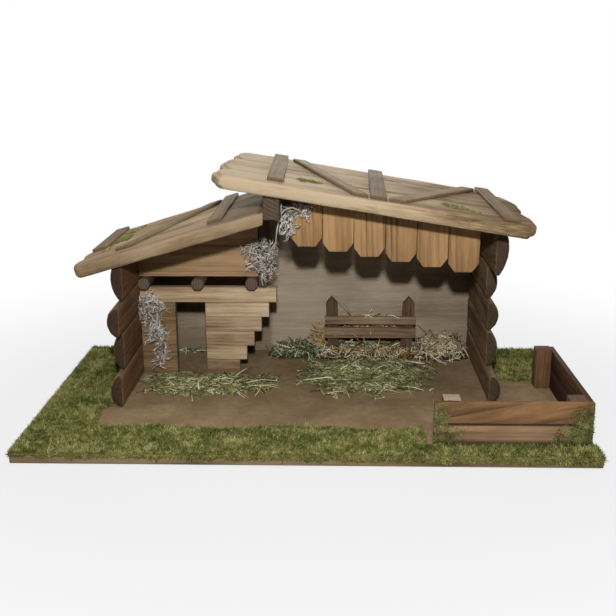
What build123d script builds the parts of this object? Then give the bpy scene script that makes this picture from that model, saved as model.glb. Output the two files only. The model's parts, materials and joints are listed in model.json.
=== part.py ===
from build123d import *
from math import cos, pi, radians, sin, tan
import os

# Base board and the ground laid on it
base_width = 600.0
base_depth = 340.0
base_thickness = 8.0
earth_thickness = 2.0
turf_thickness = 4.0
turf_front_depth = 72.0
turf_wave = 9.0
turf_gap = 8.0
turf_fence_gap = 3.0
turf_wall_gap = 1.5

# Log walls, their inner faces and front ends set in from the edges of the board
left_yard = 89.5
right_yard = 91.0
front_yard = 123.0
log_edge = 5.0
log_crown = 9.0
log_inner_round = 3.5
log_stagger = 75.0
log_end_ease = 2.5
left_joint_shares = (0.0, 0.243, 0.513, 0.734)
left_crown_shares = (1.0, 0.9, 1.05, 1.0)
left_stagger_shares = (0.03, 0.28, 0.05, 0.41)
right_joint_shares = (0.0, 0.166, 0.376, 0.545, 0.738)
right_crown_shares = (0.95, 0.9, 0.95, 0.9, 1.05)
right_stagger_shares = (0.29, 0.72, 0.79, 1.0, 0.31)

# Back panel
panel_thickness = 5.0
panel_lap = 11.0

# Ridge: place of the beam's left face between the walls, and the step up from the left roof to the right
ridge_share = 0.391
ridge_step = 35.8
left_slope = 17.0
right_slope = 9.4
beam_width = 18.0
beam_height = 28.0
beam_setback = 12.0
beam_round = 1.5
post_lap = 16.0
post_width = 10.0

# Roof planks, their eaves and front edges measured from the walls
plank_thickness = 15.0
plank_corner = 9.0
plank_ease = 1.5
seam_gap = 0.6
right_roof_eave = 28.1
right_roof_porch = 15.0
right_roof_overhang = 45.5
right_bulge = 12.0
right_left_shares = (1.0, 1.0, 0.86)
right_right_shares = (1.0, 1.01, 0.94)
right_seam_shares = ((0.0, 0.0), (0.25, 0.4), (0.67, 0.87), (1.0, 1.0))
left_roof_eave = 46.9
left_roof_setback = 25.0
left_bulge = 7.0
left_eave_shares = (1.0, 0.995, 1.0)
left_seam_shares = ((0.0, -0.094), (0.2, 0.34), (0.42, 0.68), (1.0, 1.0))

# Battens and braces nailed on top of the planks
batten_width = 18.0
batten_thickness = 4.0
batten_front_gap = 20.0
batten_round = 1.2
brace_width = 17.0
brace_gap = 1.5
right_batten_start = 2.0
right_batten_end_gap = 31.0
right_batten_shares = (0.0, 0.436, 1.0)
right_batten_leans = (-5.0, 6.0, 2.0)
right_batten_front_gaps = (18.0, 8.0, 7.0)
right_brace_front_gap = 9.0
eave_batten_inset = 4.5
eave_batten_gap = 65.0
ridge_batten_place = -63.5
ridge_batten_front_gap = 9.0
left_brace_inset = 44.5

# Small chamber on the left: laths stacked on both sides of a doorway
chamber_depth = 93.0
lath_height = 18.7
lath_thickness = 12.0
lath_count = 5
lath_seam = 0.4
corbel_step = 9.5
door_width = 37.8
jamb_width = 43.0
header_overhang = 5.5
joist_diameter = 15.5
joist_flat = 0.6
joist_overhang = 12.0
joist_count = 3
joist_gap = 0.4
gable_thickness = 8.0
gable_low_height = 34.2

# Row of hanging shingles under the right roof
shingle_setback = 52.0
shingle_height = 57.5
shingle_thickness = 6.0
shingle_clip_width = 7.5
shingle_clip_height = 10.0
shingle_count = 6
shingle_seam = 0.6
shingle_left_gap = 10.0
shingle_right_gap = 16.0
rail_strip_height = 24.0
rail_strip_thickness = 9.0

# Pen in the front right corner
fence_side_gap = 4.0
fence_front_gap = 30.0
pen_width = 163.0
pen_depth = 184.0
fence_rail_height = 23.0
fence_rail_thickness = 5.5
fence_rail_gap = 1.5
fence_post_side = 18.0
fence_post_height = 48.0
fence_rear_height = 48.5
fence_post_inset = 10.0

# Manger by the back panel
manger_share = 0.476
manger_length = 119.0
manger_depth = 33.0
manger_rail_thickness = 6.0
manger_upper_height = 10.5
manger_lower_height = 14.0
manger_rail_gap = 4.6
manger_rail_rise = 28.5
stake_width = 15.0
stake_thickness = 8.0
stake_height = 83.0
stake_point = 9.0
stake_inset = 4.5
stake_lean = 3.0

# Loose hay and lichen
soft_gap = 0.4
hay_wall_gap = 6.0
hay_heap_width = 34.0
hay_bed_length = 72.0
hay_bed_height = 26.0
hay_heap_height = 40.0
hay_mat_height = 5.0
bay_mat_length = 150.0
bay_mat_width = 132.0
chamber_mat_width = 66.0
manger_hay_height = 66.0
mound_sides = 12
mound_bevel_share = 0.35
lichen_depth = 16.0
wall_lichen_width = 30.0
wall_lichen_share = 0.855
gable_lichen_width = 38.0
gable_lichen_share = 0.57
eave_lichen_width = 30.0
eave_lichen_height = 24.0
eave_lichen_drop = 9.0

cut_overrun = 20.0


def between(start, end, share):
    """Value a share of the way from start to end."""
    return start + (end - start) * share


# Places worked out from the sizes above
ground = base_thickness + earth_thickness
board_right = base_width / 2
board_back = base_depth / 2
left_wall_x = left_yard - board_right
right_wall_x = board_right - right_yard
wall_front = front_yard - board_back
panel_front = board_back - panel_thickness
ridge_x = between(left_wall_x, right_wall_x, ridge_share)
header_bottom = ground + lath_count * lath_height
header_top = header_bottom + lath_height
joist_height = joist_diameter - 2 * joist_flat
gable_bottom = header_top + joist_height
left_ridge_height = gable_bottom + gable_low_height + (ridge_x - left_wall_x) * tan(radians(left_slope))
right_ridge_height = left_ridge_height + ridge_step
right_roof_front = wall_front - right_roof_porch
left_roof_front = wall_front + left_roof_setback
right_roof_run = (right_wall_x + right_roof_eave - ridge_x) / cos(radians(right_slope))
left_roof_run = (ridge_x - left_wall_x + left_roof_eave) / cos(radians(left_slope))
beam_right = ridge_x + beam_width
chamber_front = panel_front - chamber_depth
post_left = ridge_x - post_lap
post_right = post_left + post_width
header_right = ridge_x + header_overhang
door_left = left_wall_x + jamb_width
door_right = door_left + door_width
shingle_front = right_roof_front + shingle_setback
strip_front = shingle_front + shingle_thickness
fence_left = board_right - fence_side_gap - pen_width
pen_front = fence_front_gap - board_back
pen_back = pen_front + pen_depth

left_roof = Plane(
    origin=(ridge_x, 0, left_ridge_height),
    x_dir=(cos(radians(left_slope)), 0, sin(radians(left_slope))),
    z_dir=(-sin(radians(left_slope)), 0, cos(radians(left_slope))),
)
right_roof = Plane(
    origin=(ridge_x, 0, right_ridge_height),
    x_dir=(cos(radians(right_slope)), 0, -sin(radians(right_slope))),
    z_dir=(sin(radians(right_slope)), 0, cos(radians(right_slope))),
)


def under_left(x):
    """Height of the left roof's underside at x."""
    return left_ridge_height + (x - ridge_x) * tan(radians(left_slope))


def under_right(x):
    """Height of the right roof's underside at x."""
    return right_ridge_height - (x - ridge_x) * tan(radians(right_slope))


def facing(y):
    """Upright plane that looks to the front, its sketch x along X and its sketch y along Z."""
    return Plane(origin=(0, y, 0), x_dir=(1, 0, 0), z_dir=(0, -1, 0))


def keep(piece, name):
    """Label a finished piece and write it to its own file."""
    piece.part.label = name
    export_step(piece.part, f"parts/{name}.step")


os.makedirs("parts", exist_ok=True)

# Base board
with BuildPart() as base_board:
    with BuildSketch():
        Rectangle(base_width, base_depth)
    extrude(amount=base_thickness)
keep(base_board, "base_board")

# Sifted earth glued over the whole board
with BuildPart() as earth_floor:
    with BuildSketch(Plane.XY.offset(base_thickness)):
        Rectangle(base_width, base_depth)
    extrude(amount=earth_thickness)
keep(earth_floor, "earth_floor")

# Turf mats with ragged inner edges
turf_wave_shares = (0.0, -0.7, 0.25, -0.9, 0.1, -0.6, 0.0)


def ragged_edge(start, end, across):
    """Points of a wavy edge from start to end, pushed sideways along across."""
    steps = len(turf_wave_shares) - 1
    points = []
    for step, push in enumerate(turf_wave_shares):
        x = between(start[0], end[0], step / steps) + across[0] * push * turf_wave
        y = between(start[1], end[1], step / steps) + across[1] * push * turf_wave
        points.append((x, y))
    return points


turf_back = turf_front_depth - board_back
turf_fence_back = pen_front - turf_fence_gap
turf_step_x = fence_left - turf_gap
turf_bay = turf_wave * max(turf_wave_shares)
left_wall_outer = left_wall_x - log_edge - log_crown * max(left_crown_shares)
right_wall_outer = right_wall_x + log_edge + log_crown * max(right_crown_shares)
turf_left_edge = left_wall_outer - turf_wall_gap - turf_bay

with BuildPart() as turf_front:
    with BuildSketch(Plane.XY.offset(ground)):
        with BuildLine():
            Polyline(
                (-board_right, turf_back),
                (-board_right, -board_back),
                (board_right, -board_back),
                (board_right, turf_fence_back),
                (turf_step_x, turf_fence_back),
                (turf_step_x, turf_back),
            )
            Spline(*ragged_edge((turf_step_x, turf_back), (-board_right, turf_back), (0, 1)))
        make_face()
    extrude(amount=turf_thickness)
keep(turf_front, "turf_front")

with BuildPart() as turf_left:
    with BuildSketch(Plane.XY.offset(ground)):
        with BuildLine():
            Polyline(
                (turf_left_edge, board_back),
                (-board_right, board_back),
                (-board_right, turf_back + soft_gap),
                (turf_left_edge, turf_back + soft_gap),
            )
            Spline(
                *ragged_edge((turf_left_edge, turf_back + soft_gap), (turf_left_edge, board_back), (1, 0))
            )
        make_face()
    extrude(amount=turf_thickness)
keep(turf_left, "turf_left")

turf_right_edge = right_wall_outer + turf_gap
turf_right_front = pen_back + turf_fence_gap + turf_bay
with BuildPart() as turf_right:
    with BuildSketch(Plane.XY.offset(ground)):
        with BuildLine():
            Polyline(
                (board_right, turf_right_front),
                (board_right, board_back),
                (turf_right_edge, board_back),
                (turf_right_edge, turf_right_front),
            )
            Spline(
                *ragged_edge((turf_right_edge, turf_right_front), (board_right, turf_right_front), (0, -1))
            )
        make_face()
    extrude(amount=turf_thickness)
keep(turf_right, "turf_right")


# Log walls: half-round slabs, flat inside, stacked on their narrow edges, ends of uneven length
def slab_log(inner_x, outward, low, high, crown, front):
    """A half-round log lying along Y, from its front end to the back panel."""
    edge_x = inner_x + outward * log_edge
    with BuildPart() as log:
        with BuildSketch(facing(front)):
            with BuildLine():
                FilletPolyline(
                    (edge_x, low), (inner_x, low), (inner_x, high), (edge_x, high), radius=log_inner_round
                )
                ThreePointArc(
                    (edge_x, high), (edge_x + outward * crown, (low + high) / 2), (edge_x, low)
                )
            make_face()
        extrude(amount=front - panel_front)
        crown_edge = log.faces().sort_by(Axis.Y)[0].edges().sort_by(SortBy.LENGTH)[-1]
        chamfer(crown_edge, length=log_end_ease)
    return log


def log_wall(name, inner_x, outward, under, roof, joints, crowns, staggers):
    """Stack one wall's logs from the ground up; the top log is cut to the slope of its roof."""
    wall_height = under(inner_x) - ground
    lows = [ground + wall_height * share for share in joints]
    crest = max(under(inner_x), under(inner_x + outward * (log_edge + log_crown * crowns[-1])))
    highs = lows[1:] + [crest + log_crown]
    for number, low in enumerate(lows):
        front = wall_front + log_stagger * staggers[number]
        log = slab_log(inner_x, outward, low, highs[number], log_crown * crowns[number], front)
        if number == len(lows) - 1:
            with log:
                split(bisect_by=roof, keep=Keep.BOTTOM)
        keep(log, f"{name}_{number + 1}")


log_wall(
    "left_wall_log", left_wall_x, -1, under_left, left_roof,
    left_joint_shares, left_crown_shares, left_stagger_shares,
)
log_wall(
    "right_wall_log", right_wall_x, 1, under_right, right_roof,
    right_joint_shares, right_crown_shares, right_stagger_shares,
)

# Back panel, its top edge stepped where the two roofs meet
panel_left = left_wall_x - panel_lap
panel_right = right_wall_x + panel_lap
with BuildPart() as back_panel:
    with BuildSketch(facing(panel_front)):
        with BuildLine():
            Polyline(
                (panel_left, ground),
                (panel_right, ground),
                (panel_right, under_right(panel_right)),
                (ridge_x, under_right(ridge_x)),
                (ridge_x, under_left(ridge_x)),
                (panel_left, under_left(panel_left)),
                close=True,
            )
        make_face()
    extrude(amount=-panel_thickness)
keep(back_panel, "back_panel")


# Chamber front: short laths left of the doorway, corbelled ones right of it and a header across both
def lath_outline(left, right, low, high):
    """Corners of a flat board on the chamber front, between two heights."""
    return [(left, low), (right, low), (right, high), (left, high)]


with BuildPart() as door_jamb_laths:
    for number in range(lath_count):
        low = ground + number * lath_height
        high = low + lath_height - lath_seam
        with BuildSketch(facing(chamber_front)):
            with BuildLine():
                Polyline(*lath_outline(left_wall_x, door_left, low, high), close=True)
            make_face()
        extrude(amount=-lath_thickness)
keep(door_jamb_laths, "door_jamb_laths")

for number in range(lath_count):
    low = ground + number * lath_height
    high = low + lath_height - lath_seam
    right = header_right - (lath_count - number) * corbel_step
    with BuildPart() as chamber_lath:
        with BuildSketch(facing(chamber_front)):
            with BuildLine():
                Polyline(*lath_outline(door_right, right, low, high), close=True)
            make_face()
        extrude(amount=-lath_thickness)
    keep(chamber_lath, f"chamber_lath_{number + 1}")

with BuildPart() as chamber_header:
    with BuildSketch(facing(chamber_front)):
        with BuildLine():
            Polyline(*lath_outline(left_wall_x, header_right, header_bottom, header_top), close=True)
        make_face()
    extrude(amount=-lath_thickness)
keep(chamber_header, "chamber_header")

# Round loft joists on the header, with a narrow flat where they bear above and below
joist_low_x = left_wall_x + joist_diameter / 2
joist_high_x = post_left - joist_gap - joist_diameter / 2
joist_front = chamber_front - joist_overhang
with BuildPart() as loft_joists:
    with BuildSketch(facing(joist_front)):
        for number in range(joist_count):
            x = between(joist_low_x, joist_high_x, number / (joist_count - 1))
            with Locations((x, header_top + joist_height / 2)):
                Circle(joist_diameter / 2)
        with Locations(((joist_low_x + joist_high_x) / 2, header_top + joist_height / 2)):
            Rectangle(joist_high_x - joist_low_x + 2 * joist_diameter, joist_height, mode=Mode.INTERSECT)
    extrude(amount=joist_front - panel_front)
keep(loft_joists, "loft_joists")

# Gable board over the joists, its top cut to the left roof
with BuildPart() as gable_board:
    with BuildSketch(facing(chamber_front)):
        with BuildLine():
            Polyline(
                (left_wall_x, gable_bottom),
                (post_left, gable_bottom),
                (post_left, under_left(post_left)),
                (left_wall_x, under_left(left_wall_x)),
                close=True,
            )
        make_face()
    extrude(amount=-gable_thickness)
keep(gable_board, "gable_board")

# Ridge post on the header, its head cut to the left roof
with BuildPart() as ridge_post:
    with BuildSketch(facing(chamber_front)):
        with BuildLine():
            Polyline(
                (post_left, header_top),
                (post_right, header_top),
                (post_right, under_left(post_right)),
                (post_left, under_left(post_left)),
                close=True,
            )
        make_face()
    extrude(amount=-lath_thickness)
keep(ridge_post, "ridge_post")

# Ridge beam, its top bevelled to the right roof
beam_bottom = right_ridge_height - beam_height
beam_front = right_roof_front + beam_setback
with BuildPart() as ridge_beam:
    with BuildSketch(facing(beam_front)):
        with BuildLine():
            Polyline(
                (ridge_x, beam_bottom),
                (beam_right, beam_bottom),
                (beam_right, under_right(beam_right)),
                (ridge_x, under_right(ridge_x)),
                close=True,
            )
        make_face()
    extrude(amount=beam_front - panel_front)
    fillet(ridge_beam.faces().sort_by(Axis.Y)[0].edges().sort_by(Axis.Z)[:-1], radius=beam_round)
keep(ridge_beam, "ridge_beam")


# Roof planks: tapered boards side by side, with bowed ends and eased edges
def plank(roof, reach, ends, seams, front, depth, bulge):
    """A plank between two seams on a roof's plane; a seam's depth shares hold at the ends of reach."""
    corners = []
    for seam, side in ((seams[0], 1), (seams[1], -1)):
        for end in ends:
            along = (end - reach[0]) / (reach[1] - reach[0])
            y = front + depth * between(seam[0], seam[1], along) + side * seam_gap / 2
            corners.append((end, y))
    front_low, front_high, back_low, back_high = corners
    low_crown = (ends[0] - bulge, (front_low[1] + back_low[1]) / 2)
    high_crown = (ends[1] + bulge, (front_high[1] + back_high[1]) / 2)
    with BuildPart() as board:
        with BuildSketch(roof) as outline:
            with BuildLine():
                Line(front_low, front_high)
                ThreePointArc(front_high, high_crown, back_high)
                Line(back_high, back_low)
                ThreePointArc(back_low, low_crown, front_low)
            make_face()
            fillet(outline.vertices(), radius=plank_corner)
        extrude(amount=plank_thickness)
        faces = board.faces().sort_by(Axis(roof.origin, roof.z_dir))
        chamfer(faces[-1].edges() + faces[0].edges(), length=plank_ease)
    return board


right_depth = board_back - right_roof_front
for number in range(len(right_left_shares)):
    ends = (-right_roof_overhang * right_left_shares[number], right_roof_run * right_right_shares[number])
    board = plank(
        right_roof, (-right_roof_overhang, right_roof_run), ends,
        right_seam_shares[number:number + 2], right_roof_front, right_depth, right_bulge,
    )
    keep(board, f"right_roof_plank_{number + 1}")

left_depth = board_back - left_roof_front
for number in range(len(left_eave_shares)):
    ends = (-left_roof_run * left_eave_shares[number], cut_overrun)
    board = plank(
        left_roof, (-left_roof_run, 0), ends,
        left_seam_shares[number:number + 2], left_roof_front, left_depth, left_bulge,
    )
    with board:
        split(bisect_by=Plane.YZ.offset(ridge_x), keep=Keep.BOTTOM)
    keep(board, f"left_roof_plank_{number + 1}")


# Battens across the planks and braces between the battens
def cleat(roof, corners):
    """A flat strip with four given corners, lying on the planks of a roof."""
    with BuildPart() as strip:
        with BuildSketch(roof.offset(plank_thickness)):
            with BuildLine():
                Polyline(*corners, close=True)
            make_face()
        extrude(amount=batten_thickness)
        top_face = strip.faces().sort_by(Axis(roof.origin, roof.z_dir))[-1]
        fillet(top_face.edges(), radius=batten_round)
    return strip


def batten_corners(place, front, lean):
    """Corners of a batten from near the front edge to the back, leaning a little along the slope."""
    return [
        (place, front),
        (place + batten_width, front),
        (place + batten_width + lean, board_back),
        (place + lean, board_back),
    ]


def brace_corners(start, end, front, back):
    """Corners of a brace that runs aslant from a front place to a back place."""
    return [
        (start, front),
        (start + brace_width, front),
        (end + brace_width, back),
        (end, back),
    ]


right_batten_end = right_roof_run - right_batten_end_gap
places = [between(right_batten_start, right_batten_end, share) for share in right_batten_shares]
for number, place in enumerate(places):
    front = right_roof_front + right_batten_front_gaps[number]
    corners = batten_corners(place, front, right_batten_leans[number])
    keep(cleat(right_roof, corners), f"right_roof_batten_{number + 1}")

first, second, third = places
brace_front = right_roof_front + right_brace_front_gap
brace_back = board_back - batten_front_gap
falling = brace_corners(
    second - brace_gap - brace_width, first + batten_width + brace_gap, brace_front, brace_back
)
keep(cleat(right_roof, falling), "right_roof_brace_1")
rising = brace_corners(
    second + batten_width + brace_gap, third - brace_gap - brace_width, brace_front, brace_back
)
keep(cleat(right_roof, rising), "right_roof_brace_2")

eave_batten = batten_corners(eave_batten_inset - left_roof_run, left_roof_front + eave_batten_gap, 0)
keep(cleat(left_roof, eave_batten), "left_roof_batten_1")
left_batten_front = left_roof_front + batten_front_gap
ridge_batten = batten_corners(ridge_batten_place, left_roof_front + ridge_batten_front_gap, 0)
keep(cleat(left_roof, ridge_batten), "left_roof_batten_2")
left_rising = brace_corners(
    left_brace_inset - left_roof_run,
    ridge_batten_place - brace_gap - brace_width,
    left_batten_front,
    brace_back,
)
keep(cleat(left_roof, left_rising), "left_roof_brace")

# Strip under the right roof that carries the shingles, from the beam to the last of them
shingle_right = right_wall_x - shingle_right_gap
with BuildPart() as fascia_rail:
    with BuildSketch(facing(strip_front)):
        with BuildLine():
            Polyline(
                (beam_right, under_right(beam_right) - rail_strip_height),
                (shingle_right, under_right(shingle_right) - rail_strip_height),
                (shingle_right, under_right(shingle_right)),
                (beam_right, under_right(beam_right)),
                close=True,
            )
        make_face()
    extrude(amount=-rail_strip_thickness)
keep(fascia_rail, "fascia_rail")

# Shingles with clipped lower corners, hung in a row that follows the roof
shingle_span = shingle_right - beam_right - shingle_left_gap
shingle_pitch = shingle_span / shingle_count
for number in range(shingle_count):
    left = beam_right + shingle_left_gap + number * shingle_pitch + shingle_seam / 2
    right = left + shingle_pitch - shingle_seam
    bottom = under_right((left + right) / 2) - shingle_height
    with BuildPart() as shingle:
        with BuildSketch(facing(shingle_front)):
            with BuildLine():
                Polyline(
                    (left, bottom + shingle_clip_height),
                    (left + shingle_clip_width, bottom),
                    (right - shingle_clip_width, bottom),
                    (right, bottom + shingle_clip_height),
                    (right, under_right(right)),
                    (left, under_right(left)),
                    close=True,
                )
            make_face()
        extrude(amount=-shingle_thickness)
    keep(shingle, f"shingle_{number + 1}")

# Pen: two front rails, two side rails and three square posts inside them
pen_right = board_right - fence_side_gap
post_front = pen_front + fence_rail_thickness
post_right_x = pen_right - fence_rail_thickness
upper_low = ground + fence_rail_height + fence_rail_gap
for number, low in enumerate((ground, upper_low)):
    with BuildPart() as front_rail:
        with BuildSketch(Plane.XY.offset(low)):
            with Locations((pen_right, pen_front)):
                Rectangle(pen_width, fence_rail_thickness, align=(Align.MAX, Align.MIN))
        extrude(amount=fence_rail_height)
    keep(front_rail, f"fence_front_rail_{number + 1}")
    with BuildPart() as side_rail:
        with BuildSketch(Plane.XY.offset(low)):
            with Locations((pen_right, pen_back)):
                Rectangle(fence_rail_thickness, pen_back - post_front, align=(Align.MAX, Align.MAX))
        extrude(amount=fence_rail_height)
    keep(side_rail, f"fence_side_rail_{number + 1}")

with BuildPart() as fence_posts:
    with BuildSketch(Plane.XY.offset(ground)):
        with Locations((fence_left + fence_post_inset, post_front)):
            Rectangle(fence_post_side, fence_post_side, align=(Align.MIN, Align.MIN))
        with Locations((post_right_x, post_front)):
            Rectangle(fence_post_side, fence_post_side, align=(Align.MAX, Align.MIN))
    extrude(amount=fence_post_height)
    with BuildSketch(Plane.XY.offset(ground)):
        with Locations((post_right_x, pen_back)):
            Rectangle(fence_post_side, fence_post_side, align=(Align.MAX, Align.MAX))
    extrude(amount=fence_rear_height)
keep(fence_posts, "fence_posts")

# Manger: two rails nailed to a pair of pointed stakes that lean apart
manger_x = between(header_right, right_wall_x, manger_share)
manger_left = manger_x - manger_length / 2
manger_right = manger_x + manger_length / 2
manger_front = panel_front - manger_depth
stake_front = manger_front + manger_rail_thickness
stake_top = ground + stake_height
with BuildPart() as manger_stakes:
    for foot, lean in ((manger_left + stake_inset, -1), (manger_right - stake_inset - stake_width, 1)):
        top_left = foot + lean * stake_lean
        with BuildSketch(facing(stake_front)):
            with BuildLine():
                Polyline(
                    (foot, ground),
                    (foot + stake_width, ground),
                    (top_left + stake_width, stake_top - stake_point),
                    (top_left + stake_width / 2, stake_top),
                    (top_left, stake_top - stake_point),
                    close=True,
                )
            make_face()
        extrude(amount=-stake_thickness)
keep(manger_stakes, "manger_stakes")

lower_low = ground + manger_rail_rise
upper_rail_low = lower_low + manger_lower_height + manger_rail_gap
manger_rails = (
    ("manger_lower_rail", lower_low, manger_lower_height),
    ("manger_upper_rail", upper_rail_low, manger_upper_height),
)
for name, low, height in manger_rails:
    with BuildPart() as manger_rail:
        with BuildSketch(Plane.XY.offset(low)):
            with Locations((manger_left, manger_front)):
                Rectangle(manger_length, manger_rail_thickness, align=(Align.MIN, Align.MIN))
        extrude(amount=height)
    keep(manger_rail, name)


# Mounds: many-sided blocks with bevelled crests
def mound_outline(middle, length, width):
    """Corners of an outline that fits inside an ellipse of this length and width."""
    turns = [2 * pi * side / mound_sides for side in range(mound_sides)]
    return [(middle[0] + length / 2 * cos(turn), middle[1] + width / 2 * sin(turn)) for turn in turns]


# Hay: heaps by the back panel, thin mats on the ground and a tall wad held in the manger
heap_y = panel_front - soft_gap - hay_heap_width / 2
bed_x = manger_left - soft_gap - hay_bed_length / 2
heap_left = manger_right + stake_lean + soft_gap
heap_right = right_wall_x - hay_wall_gap
heap_x = (heap_left + heap_right) / 2
bay_mat_y = manger_front - soft_gap - bay_mat_width / 2
chamber_mat_x = (left_wall_x + header_right) / 2
chamber_mat_y = chamber_front - soft_gap - chamber_mat_width / 2
chamber_mat_length = header_right - left_wall_x - 2 * hay_wall_gap
wad_length = manger_length - 2 * (stake_inset + stake_width + soft_gap)
wad_width = manger_depth - manger_rail_thickness - 2 * soft_gap
wad_y = panel_front - soft_gap - wad_width / 2
hay_mounds = {
    "hay_heaps": (
        ((bed_x, heap_y), hay_bed_length, hay_heap_width, hay_bed_height),
        ((heap_x, heap_y), heap_right - heap_left, hay_heap_width, hay_heap_height),
    ),
    "hay_mats": (
        ((manger_x, bay_mat_y), bay_mat_length, bay_mat_width, hay_mat_height),
        ((chamber_mat_x, chamber_mat_y), chamber_mat_length, chamber_mat_width, hay_mat_height),
    ),
    "manger_hay": (((manger_x, wad_y), wad_length, wad_width, manger_hay_height),),
}
for name, mounds in hay_mounds.items():
    with BuildPart() as hay:
        for middle, length, width, height in mounds:
            with BuildSketch(Plane.XY.offset(ground)):
                with BuildLine():
                    Polyline(*mound_outline(middle, length, width), close=True)
                make_face()
            extrude(amount=height)
            crest = hay.faces(Select.LAST).sort_by(Axis.Z)[-1]
            chamfer(crest.edges(), length=mound_bevel_share * min(height, width / 2))
    keep(hay, name)

# Lichen: three tufts glued to the door jamb, the gable and the first shingle, bevelled to the front
wall_lichen_height = (header_top - ground) * wall_lichen_share
gable_lichen_height = (under_left(post_left) - gable_bottom) * gable_lichen_share
wall_tuft_x = left_wall_x + soft_gap + wall_lichen_width / 2
wall_tuft_z = header_top - soft_gap - wall_lichen_height / 2
gable_tuft_x = (post_left + post_right) / 2
gable_tuft_z = gable_bottom + soft_gap + gable_lichen_height / 2
eave_tuft_x = beam_right + soft_gap + eave_lichen_width / 2
eave_tuft_z = under_right(eave_tuft_x) - eave_lichen_drop - eave_lichen_height / 2
tufts = (
    (chamber_front, (wall_tuft_x, wall_tuft_z), wall_lichen_width, wall_lichen_height),
    (chamber_front, (gable_tuft_x, gable_tuft_z), gable_lichen_width, gable_lichen_height),
    (shingle_front, (eave_tuft_x, eave_tuft_z), eave_lichen_width, eave_lichen_height),
)
with BuildPart() as lichen_tufts:
    for face_y, middle, width, height in tufts:
        with BuildSketch(facing(face_y - soft_gap)):
            with BuildLine():
                Polyline(*mound_outline(middle, width, height), close=True)
            make_face()
        extrude(amount=lichen_depth)
        crest = lichen_tufts.faces(Select.LAST).sort_by(Axis.Y)[0]
        chamfer(crest.edges(), length=mound_bevel_share * min(lichen_depth, width / 2, height / 2))
keep(lichen_tufts, "lichen_tufts")
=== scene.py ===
"""Looks of a wooden nativity stable: dressed timber, grass, hay, lichen, light and camera."""

import json
import math
import random

import bmesh
import bpy
import numpy as np
from mathutils import Euler, Matrix, Vector, noise
from mathutils.bvhtree import BVHTree


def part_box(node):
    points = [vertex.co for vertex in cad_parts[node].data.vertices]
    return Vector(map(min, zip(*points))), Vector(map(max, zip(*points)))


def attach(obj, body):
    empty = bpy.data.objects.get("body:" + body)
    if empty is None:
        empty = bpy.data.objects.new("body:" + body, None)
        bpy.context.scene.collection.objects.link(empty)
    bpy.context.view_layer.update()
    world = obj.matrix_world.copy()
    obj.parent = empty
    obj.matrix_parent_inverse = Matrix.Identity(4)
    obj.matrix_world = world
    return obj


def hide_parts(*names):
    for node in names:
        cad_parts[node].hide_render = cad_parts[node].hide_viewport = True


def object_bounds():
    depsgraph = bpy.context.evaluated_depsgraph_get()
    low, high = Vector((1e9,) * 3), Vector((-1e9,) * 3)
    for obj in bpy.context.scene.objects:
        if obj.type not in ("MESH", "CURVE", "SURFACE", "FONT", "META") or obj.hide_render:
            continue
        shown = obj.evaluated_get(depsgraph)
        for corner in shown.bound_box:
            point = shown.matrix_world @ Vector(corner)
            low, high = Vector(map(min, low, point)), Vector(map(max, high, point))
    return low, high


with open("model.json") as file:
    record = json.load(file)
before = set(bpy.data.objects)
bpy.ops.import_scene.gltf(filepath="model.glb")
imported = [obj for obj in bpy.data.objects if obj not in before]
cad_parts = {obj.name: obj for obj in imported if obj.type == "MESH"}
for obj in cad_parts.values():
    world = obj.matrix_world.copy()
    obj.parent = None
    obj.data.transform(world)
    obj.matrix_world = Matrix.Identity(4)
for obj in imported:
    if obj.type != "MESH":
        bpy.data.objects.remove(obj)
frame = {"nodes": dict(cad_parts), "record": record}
cad_low, cad_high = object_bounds()
nodes = frame["nodes"]
slot_of = {part["node"]: part["material_slot"] for part in frame["record"]["subparts"]}

MM = 0.001
# Specular level of dry, unpainted surfaces
DULL = 0.04
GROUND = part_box("earth_floor")[1].z
BOARD_LOW, BOARD_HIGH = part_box("base_board")


def paint(red, green, blue):
    """A display colour of 0 to 255 as the linear colour that a shader takes."""
    steps = [value / 255 for value in (red, green, blue)]
    linear = [step / 12.92 if step <= 0.04045 else ((step + 0.055) / 1.055) ** 2.4 for step in steps]
    return (*linear, 1.0)


class Wire:
    """A node's output whose arithmetic adds Math nodes to the same tree."""

    def __init__(self, board, socket):
        self.board = board
        self.socket = socket

    def out(self, name):
        return Wire(self.board, self.socket.node.outputs[name])

    def math(self, operation, *values):
        return self.board.node("ShaderNodeMath", {"operation": operation}, dict(enumerate(values)))

    def __add__(self, other):
        return self.math("ADD", self, other)

    def __radd__(self, other):
        return self.math("ADD", other, self)

    def __sub__(self, other):
        return self.math("SUBTRACT", self, other)

    def __rsub__(self, other):
        return self.math("SUBTRACT", other, self)

    def __mul__(self, other):
        return self.math("MULTIPLY", self, other)

    def __truediv__(self, other):
        return self.math("DIVIDE", self, other)

    def __pow__(self, other):
        return self.math("POWER", self, other)

    def rise(self, low, high):
        """0 below low, 1 above high and a smooth step between them."""
        inputs = {"Value": self, "From Min": low, "From Max": high}
        return self.board.node("ShaderNodeMapRange", {"interpolation_type": "SMOOTHSTEP"}, inputs)


class Board:
    """A node tree and the one way in which nodes are added to it."""

    def __init__(self, tree):
        self.tree = tree

    def node(self, kind, settings=None, inputs=None, output=0):
        made = self.tree.nodes.new(kind)
        for name, value in (settings or {}).items():
            setattr(made, name, value)
        for name, value in (inputs or {}).items():
            if isinstance(value, Wire):
                self.tree.links.new(value.socket, made.inputs[name])
            else:
                made.inputs[name].default_value = value
        return Wire(self, made.outputs[output]) if made.outputs else made


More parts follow.
